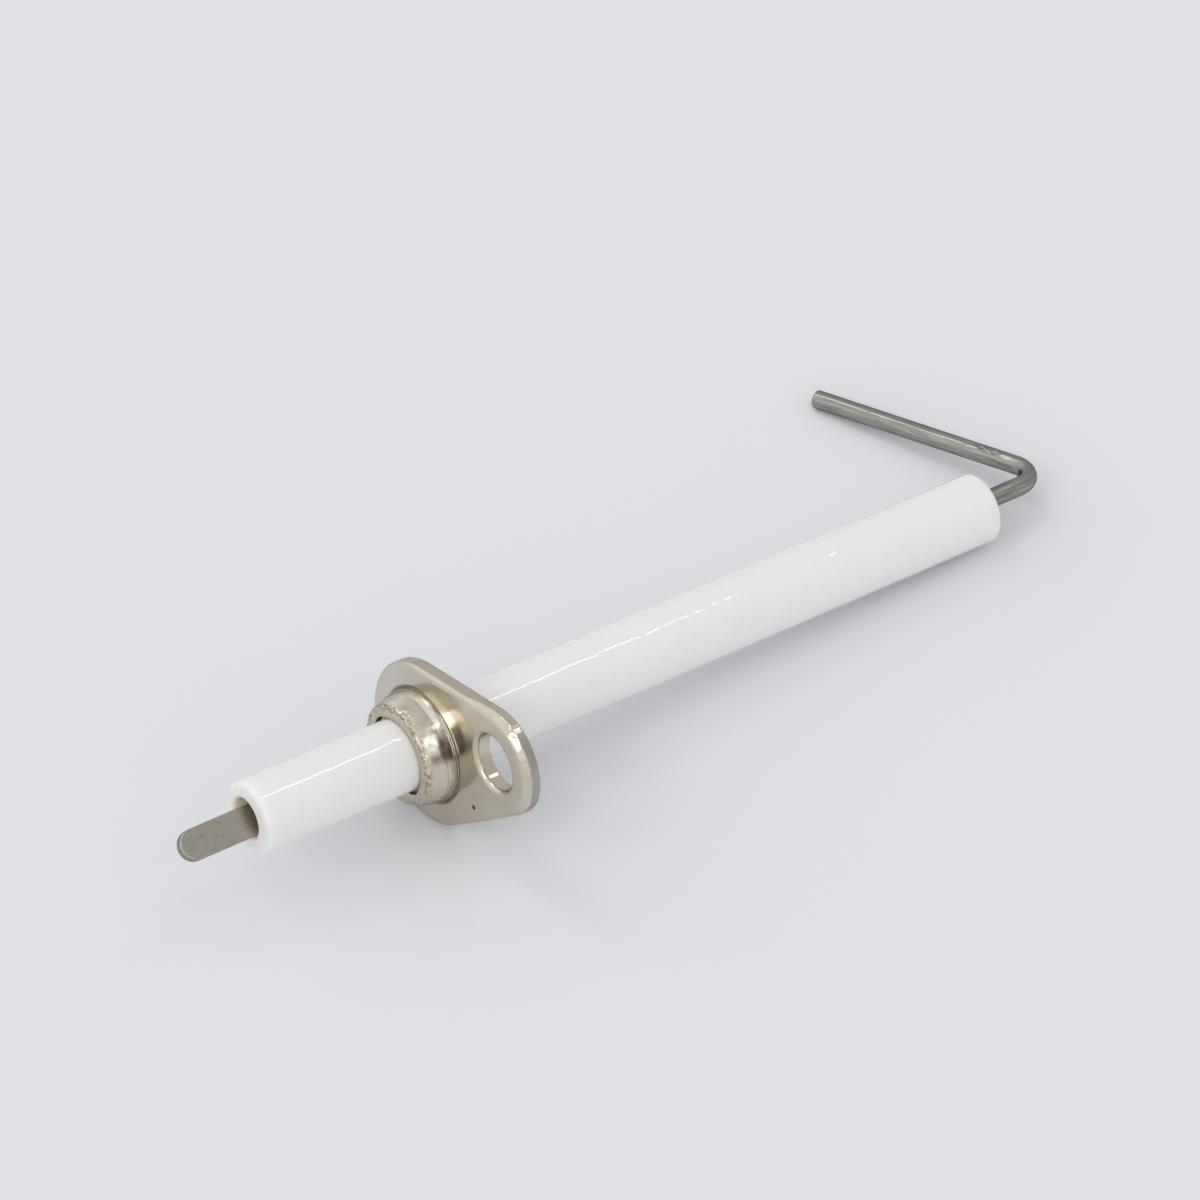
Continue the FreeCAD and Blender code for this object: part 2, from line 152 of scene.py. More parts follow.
def dense_copy(node, name, voxel, passes):
    """A copy of a CAD node's shape as one even skin of small faces, voxel mm apart."""
    work = bmesh.new()
    work.from_mesh(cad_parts[node].data)
    bmesh.ops.remove_doubles(work, verts=work.verts, dist=1e-7)
    bmesh.ops.scale(work, vec=(1 / MM,) * 3, verts=work.verts)
    mesh = bpy.data.meshes.new(name + "_coarse")
    work.to_mesh(mesh)
    work.free()
    coarse = bpy.data.objects.new(name + "_coarse", mesh)
    SCENE.collection.objects.link(coarse)
    skin = coarse.modifiers.new("skin", "REMESH")
    skin.mode = "VOXEL"
    skin.voxel_size = voxel
    if passes:
        relax = coarse.modifiers.new("relax", "SMOOTH")
        relax.factor = 0.5
        relax.iterations = passes
    graph = bpy.context.evaluated_depsgraph_get()
    fine = bpy.data.meshes.new_from_object(coarse.evaluated_get(graph))
    fine.name = name
    bpy.data.objects.remove(coarse)
    bpy.data.meshes.remove(mesh)
    fine.transform(Matrix.Scale(MM, 4))
    fine.shade_smooth()
    piece = bpy.data.objects.new(name, fine)
    SCENE.collection.objects.link(piece)
    return piece


def inside(points, node):
    """The points, none of them outside the CAD node's own box."""
    low, high = box_mm(node)
    return np.clip(points, low, high)


def bumps(points, size, seed=0.0):
    """Smooth noise from -1 to 1 at each point; size is the width of a bump in mm."""
    shift = Vector((seed, 1.7 * seed, -0.6 * seed))
    return np.array([noise.noise(Vector(p) + shift) for p in (points / size).tolist()])


def band(value, low, high, edge):
    """1 between low and high, falling smoothly to 0 over edge outside them."""
    rise = np.clip((value - low + edge) / edge, 0, 1)
    fall = np.clip((high + edge - value) / edge, 0, 1)
    both = rise * fall
    return both * both * (3 - 2 * both)


def bell(distance, width):
    return np.exp(-(distance / width) ** 2)


def lathe(name, profile, around):
    """A closed ring of profile points (x, r) turned about the X axis."""
    profile = np.array(profile)
    count = len(profile)
    turn = np.linspace(0, 2 * math.pi, around, endpoint=False)
    x = np.repeat(profile[:, 0][None], around, 0)
    r = np.repeat(profile[:, 1][None], around, 0)
    t = np.repeat(turn[:, None], count, 1)
    points = np.stack([x, r * np.cos(t), r * np.sin(t)], -1).reshape(-1, 3)
    faces = []
    for i in range(around):
        a, b = i * count, (i + 1) % around * count
        faces += [(b + j, b + (j + 1) % count, a + (j + 1) % count, a + j) for j in range(count)]
    return new_piece(name, points, faces)


def run(start, end, step):
    """Points from start towards end, without end, about step apart."""
    start, end = np.array(start, float), np.array(end, float)
    count = max(1, round(float(np.linalg.norm(end - start)) / step))
    return [tuple(start + (end - start) * i / count) for i in range(count)]


def corner(centre, radius, first, last, count):
    """Points on an arc in the profile plane, from angle first to last in degrees."""
    turns = np.radians(np.linspace(first, last, count))
    return [(centre[0] + radius * math.cos(t), centre[1] + radius * math.sin(t)) for t in turns]


# ---------------------------------------------------------------- table, camera and light

def table_plane(down_guess):
    """The plane the object rests on: the supporting face of its hull on the guessed side."""
    hull = bmesh.new()
    for node in ("insulator", "mounting_flange", "electrode_rod"):
        hull.from_mesh(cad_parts[node].data)
    found = bmesh.ops.convex_hull(hull, input=hull.verts)
    best = None
    for face in found["geom"]:
        if isinstance(face, bmesh.types.BMFace) and face.normal.angle(down_guess) < math.radians(8):
            if best is None or face.calc_area() > best[0]:
                best = (face.calc_area(), -face.normal.copy(), face.calc_center_median())
    hull.free()
    return best[1].normalized(), best[2]


VIEW_AZIMUTH = math.radians(-31.33)
VIEW_ELEVATION = math.radians(16.863)
VIEW_ROLL = math.radians(12.705)
VIEW_DISTANCE = 0.438277
VIEW_AIM = Vector((19.895, 4.4445, 3.7678)) * MM
VIEW_LENS = 164.506
SENSOR = 36
LIGHT_DISTANCE = 2.6

back = Vector((
    math.sin(VIEW_AZIMUTH) * math.cos(VIEW_ELEVATION),
    -math.cos(VIEW_AZIMUTH) * math.cos(VIEW_ELEVATION),
    math.sin(VIEW_ELEVATION),
))
level = Vector((0, 0, 1)).cross(back).normalized()
sight_up = back.cross(level)
sight_right = level * math.cos(VIEW_ROLL) - sight_up * math.sin(VIEW_ROLL)
sight_up = back.cross(sight_right)

camera_data = bpy.data.cameras.new("camera")
camera_data.lens = VIEW_LENS
camera_data.sensor_width = SENSOR
camera_data.clip_start = 0.05
camera_data.clip_end = 20
camera = bpy.data.objects.new("camera", camera_data)
SCENE.collection.objects.link(camera)
camera.matrix_world = Matrix((
    (sight_right.x, sight_up.x, back.x, 0),
    (sight_right.y, sight_up.y, back.y, 0),
    (sight_right.z, sight_up.z, back.z, 0),
    (0, 0, 0, 1),
))
camera.location = VIEW_AIM + back * VIEW_DISTANCE
SCENE.camera = camera

table_up, table_point = table_plane(Vector((0.07, 0.45, -0.89)))
table_back = (-back - table_up * (-back).dot(table_up)).normalized()
table_right = table_back.cross(table_up)


def studio(right, away, up):
    """A direction in the studio: to the camera's right, away from it, and up from the table."""
    return (table_right * right + table_back * away + table_up * up).normalized()


def softbox(name, direction, width, height, brightness, along=None):
    """A rectangular studio light that faces the object; brightness is what a mirror would see."""
    data = bpy.data.lights.new(name, "AREA")
    data.shape = "RECTANGLE"
    data.size = width
    data.size_y = height
    data.energy = brightness * math.pi * width * height
    lamp = bpy.data.objects.new(name, data)
    SCENE.collection.objects.link(lamp)
    z = direction.normalized()
    x = (along - z * along.dot(z)).normalized() if along else table_up.cross(z).normalized()
    y = z.cross(x)
    lamp.matrix_world = Matrix((
        (x.x, y.x, z.x, 0), (x.y, y.y, z.y, 0), (x.z, y.z, z.z, 0), (0, 0, 0, 1)))
    lamp.location = VIEW_AIM + z * LIGHT_DISTANCE


softbox("left", studio(-0.47, -0.57, 0.67), 1.2, 0.6, 2.8, table_right * 0.47 - table_back * 0.92)
softbox("front", studio(0.34, -0.62, 0.70), 1.1, 0.7, 0.6)
softbox("back", studio(-0.42, 0.25, 0.87), 0.9, 0.26, 3.8, table_right * 0.66 - table_back * 0.42)
softbox("top", studio(0.31, -0.15, 0.94), 0.36, 0.24, 2.8, table_right * 0.28 - table_back * 0.44)
softbox("line", Vector((0.457, -0.393, 0.798)), 0.40, 0.09, 11.0, Vector((0.676, 0.733, -0.07)))

world = bpy.data.worlds.new("studio")
world.use_nodes = True
SCENE.world = world
SCENE.view_settings.view_transform = "Standard"


def world_nodes():
    tree = world.node_tree
    tree.nodes.clear()
    link = tree.links.new
    where = tree.nodes.new("ShaderNodeTexCoord")
    height = tree.nodes.new("ShaderNodeVectorMath")
    height.operation = "DOT_PRODUCT"
    height.inputs[1].default_value = table_up
    link(where.outputs["Generated"], height.inputs[0])
    ramp = tree.nodes.new("ShaderNodeValToRGB")
    stops = ramp.color_ramp.elements
    stops[0].position, stops[0].color = 0.0, (0.735, 0.735, 0.735, 1)
    stops[1].position, stops[1].color = 0.9, (0.915, 0.915, 0.915, 1)
    for position, tone in ((0.22, 0.905), (0.45, 0.985)):
        stop = stops.new(position)
        stop.color = (tone, tone, tone, 1)
    link(height.outputs["Value"], ramp.inputs[0])
    toward_dim = tree.nodes.new("ShaderNodeVectorMath")
    toward_dim.operation = "DOT_PRODUCT"
    toward_dim.inputs[1].default_value = studio(0.68, 0.55, 0.28)
    link(where.outputs["Generated"], toward_dim.inputs[0])
    dim = tree.nodes.new("ShaderNodeMapRange")
    dim.interpolation_type = "SMOOTHSTEP"
    for socket, value in (("From Min", 0.20), ("From Max", 0.62), ("To Min", 1.0), ("To Max", 0.62)):
        dim.inputs[socket].default_value = value
    link(toward_dim.outputs["Value"], dim.inputs["Value"])
    unseen = tree.nodes.new("ShaderNodeBackground")
    link(ramp.outputs[0], unseen.inputs["Color"])
    link(dim.outputs[0], unseen.inputs["Strength"])
    seen = tree.nodes.new("ShaderNodeBackground")
    seen.inputs["Color"].default_value = (0.738, 0.752, 0.783, 1)
    path = tree.nodes.new("ShaderNodeLightPath")
    mix = tree.nodes.new("ShaderNodeMixShader")
    link(path.outputs["Is Camera Ray"], mix.inputs[0])
    link(unseen.outputs[0], mix.inputs[1])
    link(seen.outputs[0], mix.inputs[2])
    out = tree.nodes.new("ShaderNodeOutputWorld")
    link(mix.outputs[0], out.inputs["Surface"])


world_nodes()

# ---------------------------------------------------------------- materials

class Look:
    """A procedural material under construction, with one Principled shader."""

    def __init__(self, name):
        self.material = bpy.data.materials.new(name)
        self.material.use_nodes = True
        self.tree = self.material.node_tree
        self.tree.nodes.clear()
        self.shader = self.node("BsdfPrincipled")
        self.out = self.node("OutputMaterial")
        self.link(self.shader.outputs[0], self.out.inputs["Surface"])
        self.where = self.node("TexCoord").outputs["Object"]

    def node(self, kind, **settings):
        made = self.tree.nodes.new("ShaderNode" + kind)
        for key, value in settings.items():
            setattr(made, key, value)
        return made

    def link(self, source, target):
        self.tree.links.new(source, target)

    def put(self, socket, value):
        """Sets a shader socket, or links it when value is another node's output."""
        if isinstance(value, bpy.types.NodeSocket):
            self.link(value, self.shader.inputs[socket])
        elif isinstance(value, tuple):
            self.shader.inputs[socket].default_value = (*value, 1)
        else:
            self.shader.inputs[socket].default_value = value

    def noise(self, size, detail=3.0, stretch=(1, 1, 1), where=None):
        """Noise whose marks are about size mm wide, pulled out by stretch along each axis."""
        scaled = self.node("Mapping")
        scaled.inputs["Scale"].default_value = [1 / (size * MM * s) for s in stretch]
        self.link(where or self.where, scaled.inputs["Vector"])
        made = self.node("TexNoise")
        made.inputs["Scale"].default_value = 1
        made.inputs["Detail"].default_value = detail
        self.link(scaled.outputs[0], made.inputs["Vector"])
        return made.outputs["Fac"]

    def ramp(self, source, *stops):
        """A colour ramp; each stop is (position, colour or grey)."""
        made = self.node("ValToRGB")
        line = made.color_ramp.elements
        while len(line) < len(stops):
            line.new(0.5)
        for element, (position, tone) in zip(line, stops):
            element.position = position
            element.color = (*tone, 1) if isinstance(tone, tuple) else (tone, tone, tone, 1)
        self.link(source, made.inputs[0])
        return made.outputs[0]

    def span(self, source, low, high, start=0.0, end=1.0):
        """source from low..high brought to start..end and held there outside."""
        made = self.node("MapRange")
        for socket, value in zip(("From Min", "From Max", "To Min", "To Max"), (low, high, start, end)):
            made.inputs[socket].default_value = value
        self.link(source, made.inputs["Value"])
        return made.outputs[0]

    def mask(self, name):
        return self.node("Attribute", attribute_name=name).outputs["Fac"]

    def math(self, operation, a, b):
        made = self.node("Math", operation=operation)
        for socket, value in zip(made.inputs, (a, b)):
            if isinstance(value, bpy.types.NodeSocket):
                self.link(value, socket)
            else:
                socket.default_value = value
        return made.outputs[0]

    def times(self, a, b):
        return self.math("MULTIPLY", a, b)

    def plus(self, a, b):
        return self.math("ADD", a, b)

    def mix(self, amount, first, second):
        """first where amount is 0 and second where it is 1, as colours."""
        made = self.node("Mix", data_type="RGBA")
        self.link(amount, made.inputs[0])
        for socket, value in ((made.inputs[6], first), (made.inputs[7], second)):
            if isinstance(value, tuple):
                socket.default_value = (*value, 1)
            else:
                self.link(value, socket)
        return made.outputs[2]

    def bump(self, height, depth, strength=1.0, after=None):
        """Fine relief too small to model, depth mm deep."""
        made = self.node("Bump")
        made.inputs["Strength"].default_value = strength
        made.inputs["Distance"].default_value = depth * MM
        self.link(height, made.inputs["Height"])
        if after is not None:
            self.link(after, made.inputs["Normal"])
        return made.outputs[0]


def ceramic_look():
    look = Look("glazed_ceramic")
    cloud = look.noise(6.0, 2)
    white = look.ramp(cloud, (0.3, (0.862, 0.860, 0.855)), (0.7, (0.877, 0.875, 0.870)))
    dull = look.mix(look.mask("bare"), white, (0.80, 0.80, 0.795))
    body = look.mix(look.mask("raw"), dull, (0.92, 0.86, 0.74))
    look.put("Base Color", body)
    sheen = look.span(look.noise(1.4, 2), 0.3, 0.7, 0.04, 0.08)
    look.put("Roughness", look.plus(sheen, look.times(look.mask("bare"), 0.5)))
    look.put("IOR", 1.52)
    look.put("Subsurface Weight", 0.6)
    look.shader.inputs["Subsurface Radius"].default_value = (1.0, 0.95, 0.85)
    look.put("Subsurface Scale", 1.0 * MM)
    look.put("Normal", look.bump(look.noise(0.5, 2), 0.0012, 0.5))
    return look.material


def nickel_look():
    look = Look("nickel_plate")
    cloud = look.ramp(
        look.noise(3.2, 4),
        (0.32, (0.625, 0.565, 0.455)), (0.5, (0.665, 0.605, 0.495)), (0.70, (0.685, 0.63, 0.535)))
    grain = look.noise(0.16, 4)
    toned = look.mix(look.span(grain, 0.45, 0.75, 0, 0.10), cloud, (0.55, 0.50, 0.40))
    cut = look.mix(look.mask("sheared"), toned, (0.43, 0.41, 0.36))
    # a darker olive tone on the collar's cone, painted to keep the reflection there dim
    olive = look.mix(look.mask("olive"), cut, (0.50, 0.46, 0.36))
    rosy = look.mix(look.mask("rosy"), olive, (0.74, 0.68, 0.63))
    flecks = look.times(look.mask("lip"), look.span(look.noise(0.30, 4), 0.50, 0.58))
    worn = look.mix(flecks, rosy, (0.22, 0.14, 0.06))
    # painted glints: small near-white spots on the crimped lip
    painted_glints = look.times(look.mask("lip"), look.span(look.noise(0.24, 3), 0.42, 0.34))
    bright = look.mix(painted_glints, worn, (0.86, 0.80, 0.66))
    # painted shade: dark brown in the crease at the collar's root, and a painted dark reflection band on
    # the collar's wall
    shaded = look.mix(look.mask("painted_shade"), bright, (0.13, 0.10, 0.075))
    # painted highlight: a near-white line at the collar's root, a bright strip along its wall and bright
    # patches on its cone
    highlighted = look.mix(look.mask("painted_highlight"), shaded, (0.98, 0.945, 0.865))
    look.put("Base Color", look.mix(look.mask("pit"), highlighted, (0.13, 0.06, 0.04)))
    look.put("Metallic", 1.0)
    look.put("Specular Tint", (0.7, 0.7, 0.7))
    look.put("Roughness", look.plus(look.span(look.noise(0.9, 4), 0.3, 0.7, 0.15, 0.22),
                                    look.times(look.plus(look.mask("lip"), look.mask("sheared")), 0.10)))
    look.put("Normal", look.bump(grain, 0.002, 0.3))
    return look.material


def steel_look(name, dark, light, warm, stain_and_shade, stretched, speckle, matt):
    """Bare steel with drawing lines; speckle is its grain's depth in mm and matt its roughness."""
    look = Look(name)
    lines = look.noise(0.10, 4, stretch=stretched, where=look.node(
        "Attribute", attribute_name="flow").outputs["Vector"])
    cloud = look.noise(2.2, 3)
    tone = look.ramp(lines, (0.3, dark), (0.7, light))
    tone = look.mix(look.span(cloud, 0.5, 0.72, 0, 0.5), tone, warm)
    # darkens towards the stain tone: real stain and rust on the wire; on the blade, a painted dark
    # reflection along its edges and darker brown where it enters the counterbore
    tone = look.mix(look.mask("stain_and_shade"), tone, stain_and_shade)
    look.put("Base Color", tone)
    look.put("Metallic", 1.0)
    look.put("Specular Tint", (0.45, 0.45, 0.45))
    look.put("Roughness", look.span(lines, 0.3, 0.7, matt, matt + 0.14))
    speck = look.bump(look.noise(0.09, 3), speckle, 0.6)
    look.put("Normal", look.bump(lines, 0.0015, 0.5, after=speck))
    return look.material


def cement_look(name, pale, deep, size):
    look = Look(name)
    look.put("Base Color", look.ramp(look.noise(size, 5), (0.3, deep), (0.7, pale)))
    look.put("Roughness", 0.9)
    look.put("Normal", look.bump(look.noise(size * 0.4, 5), 0.03, 0.8))
    return look.material


def floor_look():
    look = Look("floor")
    cloud = look.noise(60.0, 2)
    look.put("Base Color", look.ramp(cloud, (0.3, (0.785, 0.798, 0.832)), (0.7, (0.791, 0.804, 0.838))))
    look.put("Roughness", 0.9)
    look.put("Specular IOR Level", 0.1)
    clear = look.node("BsdfTransparent")
    side = look.node("NewGeometry")
    pick = look.node("MixShader")
    look.link(side.outputs["Backfacing"], pick.inputs[0])
    look.link(look.shader.outputs[0], pick.inputs[1])
    look.link(clear.outputs[0], pick.inputs[2])
    look.link(pick.outputs[0], look.out.inputs["Surface"])
    return look.material


def dress(piece, material):
    piece.data.materials.clear()
    piece.data.materials.append(material)


# ---------------------------------------------------------------- ceramic tube

def make_tube():
    """The glazed tube, turned from its profile, with a rippled glaze and the collar's seat."""
    low, high = box_mm("insulator")
    back_x, front_x = low[0], high[0]
    edge, mouth = TUBE_END_RADIUS, MOUTH_CHAMFER
    seat_start, seat_end, seat_r = SEAT
    step_x = back_x + COUNTERBORE_DEPTH
    profile = corner((back_x + edge, TUBE_R - edge), edge, 180, 90, 9)
    profile += run((back_x + edge + TUBE_STEP, TUBE_R), (seat_start, TUBE_R), TUBE_STEP)
    profile += [(seat_start, TUBE_R), (seat_start, seat_r), (seat_end, seat_r), (seat_end, TUBE_R)]
    edge = FRONT_END_RADIUS
    profile += run((seat_end + TUBE_STEP, TUBE_R), (front_x - edge, TUBE_R), TUBE_STEP)
    profile += corner((front_x - edge, TUBE_R - edge), edge, 90, 0, 9)
    profile += run((front_x, TUBE_R - edge - 0.15), (front_x, BORE_R + mouth), 0.2)
    profile += corner((front_x - mouth, BORE_R + mouth), mouth, 0, -90, 5)
    profile += run((front_x - mouth - 1.0, BORE_R), (step_x, BORE_R), 1.2)
    profile += run((step_x, BORE_R), (step_x, COUNTERBORE_R), 0.25)
    profile += run((step_x, COUNTERBORE_R), (back_x + mouth + 0.3, COUNTERBORE_R), 0.5)
    profile += corner((back_x + mouth, COUNTERBORE_R + mouth), mouth, 270, 180, 5)
    profile += run((back_x, COUNTERBORE_R + mouth + 0.1), (back_x, TUBE_R - TUBE_END_RADIUS), 0.12)
    tube = lathe("glazed_tube", profile, 216)
    points, normals = points_of(tube)
    radius = np.hypot(points[:, 1], points[:, 2])
    glaze = band(radius, 2.35, 9, 0.3) * (1 - band(points[:, 0], seat_start, seat_end, 0.1))
    ripple = 0.012 * bumps(points, 0.8, 3) + 0.003 * bumps(points, 0.35, 8)
    ripple += 0.010 * bumps(points * (0.5, 1, 1), 4.0, 7)
    sunk = np.where(glaze > 0, -glaze * (ripple + 0.012), 0)
    turn = np.arctan2(points[:, 2], -points[:, 1])
    for x, degrees, depth in PINHOLES:
        off = (turn - math.radians(degrees) + math.pi) % (2 * math.pi) - math.pi
        gap = np.hypot(points[:, 0] - x, TUBE_R * off)
        sunk -= depth * bell(gap, PINHOLE_WIDTH) * (radius > BORE_R + 1)
    points = points + normals * sunk[:, None]
    points[:, 1] += MOUTH_SHIFT * band(points[:, 0], back_x - 1, back_x + 4, 5) * band(radius, 0, 1.9, 0.8)
    write_points(tube, inside(points, "insulator"))
    mouth_r = COUNTERBORE_R + MOUTH_CHAMFER + 0.04
    near_mouth = bell(points[:, 0] - back_x, 0.6) * band(radius, 1.5, mouth_r, 0.08)
    deep = band(points[:, 0], back_x, back_x + 5, 1.0) * band(radius, 1.0, COUNTERBORE_R, 0.05)
    write_mask(tube, "raw", near_mouth * 0.9 + deep * 0.35)
    write_mask(tube, "bare", bell(np.maximum(points[:, 0] - back_x - 0.1, 0), 0.16)
               + bell(np.minimum(points[:, 0] - front_x + 0.1, 0), 0.2))
    return tube


# ---------------------------------------------------------------- flange

def outline_depth(y, z):
    """How far each point lies inside the flange's outline, two circles joined by tangents."""
    rise = (LOBE_R - EAR_R) / abs(HOLE_Y)
    run_in = math.sqrt(1 - rise * rise)
    side, along = np.abs(z), -y
    at = along * run_in - side * rise
    lobe = LOBE_R - np.hypot(side, along)
    ear = EAR_R - np.hypot(side, along + HOLE_Y)
    flank = LOBE_R - side * run_in - along * rise
    return np.where(at < 0, lobe, np.where(at > abs(HOLE_Y) * run_in, ear, flank))


def rounding(inward, radius):
    """How far a rounded edge of that radius has dropped, inward mm from the side."""
    left = np.clip(radius - inward, 0, radius)
    return radius - np.sqrt(radius * radius - left * left)


def make_flange():
    """The pressed flange: its collar drawn and crimped, its ear worn, its faces a little uneven."""
    flange = dense_copy("mounting_flange", "crimped_flange", SKIN, 2)
    points, normals = points_of(flange)
    x, y, z = points.T
    r = np.hypot(y, z)
    turn = np.arctan2(z, -y)
    face = np.clip(-normals[:, 0], 0, 1) * band(x, -1.5, -1.0, 0.2)
    toward_ear = bell(turn - 0.22, 0.55)
    trough = -0.025 * bell(r - 5.6, 0.8) * toward_ear
    valley = -0.035 * bell(y + 6.9, 1.0) * bell(z - 1.0, 1.5)
    root = -0.07 * bell(r - COLLAR_ROOT_R - 0.05, 0.05) * (1 + 0.5 * bumps(points, 0.4, 2))
    soft = 0.03 * bumps(points, 4.5, 5) + 0.003 * bumps(points, 0.9, 9)
    shift = face * (trough + valley + root + soft - 0.02)
    outside = band(r, 3.55, 6, 0.1)
    wall = band(x, -3.7, PLATE_FRONT - 0.15, 0.1) * band(r, 3.9, 4.9, 0.05) * np.clip(1 - face, 0, 1)
    facets = -0.02 * (1 - np.abs(np.cos(5.5 * turn + 0.4)))
    up_wall = np.clip(COLLAR_START - x, 0, COLLAR_RISE)
    straight_cone = COLLAR_CONE * np.maximum(up_wall - COLLAR_STRAIGHT, 0)
    draft = straight_cone - up_wall * (DRAFT_ROOT + 0.5 * (DRAFT_RIM - DRAFT_ROOT) * up_wall / COLLAR_RISE)
    mottle = 0.012 + 0.012 * bell(turn - 0.31, 0.22)
    uneven = facets + mottle * bumps(points, 0.9, 4) + 0.004 * bumps(points, 0.35, 6) - 0.01
    shift += wall * (draft + uneven * band(x, -3.9, -2.1, 0.6))
    lip = band(x, -4.1, -3.45, 0.15) * band(r, 3.0, 4.6, 0.2)
    corner_gap = np.hypot(x + 3.72, r - 4.0)
    crest = bell(corner_gap, 0.30)
    shift += lip * (0.012 * bumps(points, 0.7, 8) - 0.012)
    shift += crest * (0.09 * bumps(points, 0.36, 8) + 0.06 * bumps(points, 0.2, 1) - 0.05)
    pit_gap = np.linalg.norm(points - np.array(PIT), axis=1)
    shift -= 0.10 * bell(pit_gap, 0.19)
    points = points + normals * shift[:, None]
    squeeze = band(x, -4.2, -2.9, 0.3) * band(r, 2.9, 3.2, 0.35)
    open_gap = bell(turn - 2.15, 0.45) + bell(turn + 1.10, 0.35)
    reach = 1 - squeeze * (0.22 - 0.30 * open_gap) / np.maximum(r, 1)
    points[:, 1:] *= reach[:, None]
    inward = outline_depth(points[:, 1], points[:, 2])
    worn = EDGE_ROLL - inward + 0.05 * bumps(points, 0.8, 11) + 0.03 * bumps(points, 0.3, 12)
    roll = 0.62 * (worn + np.sqrt(worn * worn + 0.01)) - rounding(inward, CAD_EDGE_ROLL)
    past_hole = np.hypot(y - HOLE_Y, z) - HOLE_R
    soft_lip = rounding(past_hole, HOLE_ROLL) - rounding(past_hole, CAD_HOLE_ROLL)
    drop = np.maximum(roll, 0) * band(y, -15, -10, 3) + np.maximum(soft_lip, 0)
    points[:, 0] += drop * np.clip((-0.15 - x) / 0.85, 0, 1) * band(x, -2, 0, 0.1)
    write_points(flange, inside(points, "mounting_flange"))
    write_mask(flange, "lip", crest)
    write_mask(flange, "rosy", band(y, 2.0, 9, 3.0) * face * 0.8)
    # painted shade in the crease where the collar meets the plate, and a painted dark reflection band on
    # the collar's wall beside and below its bright strip
    root_crease_shade = 0.85 * bell(r - COLLAR_ROOT_R - 0.11, 0.10) * bell(x - PLATE_FRONT, 0.14)
    wander = x + 0.12 * bumps(points, 1.3, 5)
    beside = bell(turn - 0.23, 0.23) * band(wander, -2.35, -1.64, 0.38)
    below = bell(turn - 0.02, 0.10) * band(wander, -3.15, -1.64, 0.45)
    dark_reflection_band = (0.92 * beside + 0.72 * below) * band(r, 4.0, 5, 0.1)
    write_mask(flange, "painted_shade", root_crease_shade + dark_reflection_band * (1 + 0.2 * bumps(points, 0.7, 5)))
    # darker olive on the upper middle of the collar's cone, painted to keep its reflection dim
    cloudy = np.clip(0.7 + 0.8 * bumps(points, 1.0, 13), 0, 1)
    write_mask(flange, "olive", band(turn, 0.62, 1.15, 0.3) * band(x, -3.45, -2.5, 0.3) * cloudy)
    # painted highlights on the collar: a thin bright line at its root, a bright strip along its wall and
    # silvery patches on its cone
    painted_highlight = band(x, -1.60, -1.46, 0.04) * band(r, 4.7, 5, 0.04) * band(turn, 0.05, 0.62, 0.15)
    strip_highlight = band(x, -2.08, -1.60, 0.16) * band(turn, 0.52, 1.15, 0.12) * band(r, 4.3, 5, 0.1)
    patchy = np.clip(0.45 + 1.6 * bumps(points, 0.42, 14), 0, 1)
    patch_highlight = bell(turn - 0.34, 0.15) * band(x, -3.35, -2.65, 0.2) * patchy
    write_mask(flange, "painted_highlight", painted_highlight + 0.8 * strip_highlight + 0.9 * patch_highlight)
    side_wall = np.clip(1.25 - 2.5 * np.abs(normals[:, 0]), 0, 1) * band(inward, -1, 0.25, 0.1)
    about_hole = np.arctan2(z, HOLE_Y - y)
    write_mask(flange, "sheared", side_wall * band(x, -1.35, 0, 0.1) * band(about_hole, -0.9, 0.3, 0.6))
    write_mask(flange, "pit", band(pit_gap, -1, 0.18, 0.06))
    return flange


# ---------------------------------------------------------------- wire

def wire_path(distance):
    """The wire's centre in its own plane and its direction, distance mm along it."""
    straight = BEND_START - WIRE_START
    arc = BEND_R * BEND_ANGLE
    if distance <= straight:
        return (WIRE_START + distance, 0.0), 0.0
    if distance <= straight + arc:
        a = (distance - straight) / BEND_R
        return (BEND_START + BEND_R * math.sin(a), BEND_R * (1 - math.cos(a))), a
    rest = distance - straight - arc
    end = (BEND_START + BEND_R * math.sin(BEND_ANGLE), BEND_R * (1 - math.cos(BEND_ANGLE)))
    return (end[0] + rest * math.cos(BEND_ANGLE), end[1] + rest * math.sin(BEND_ANGLE)), BEND_ANGLE


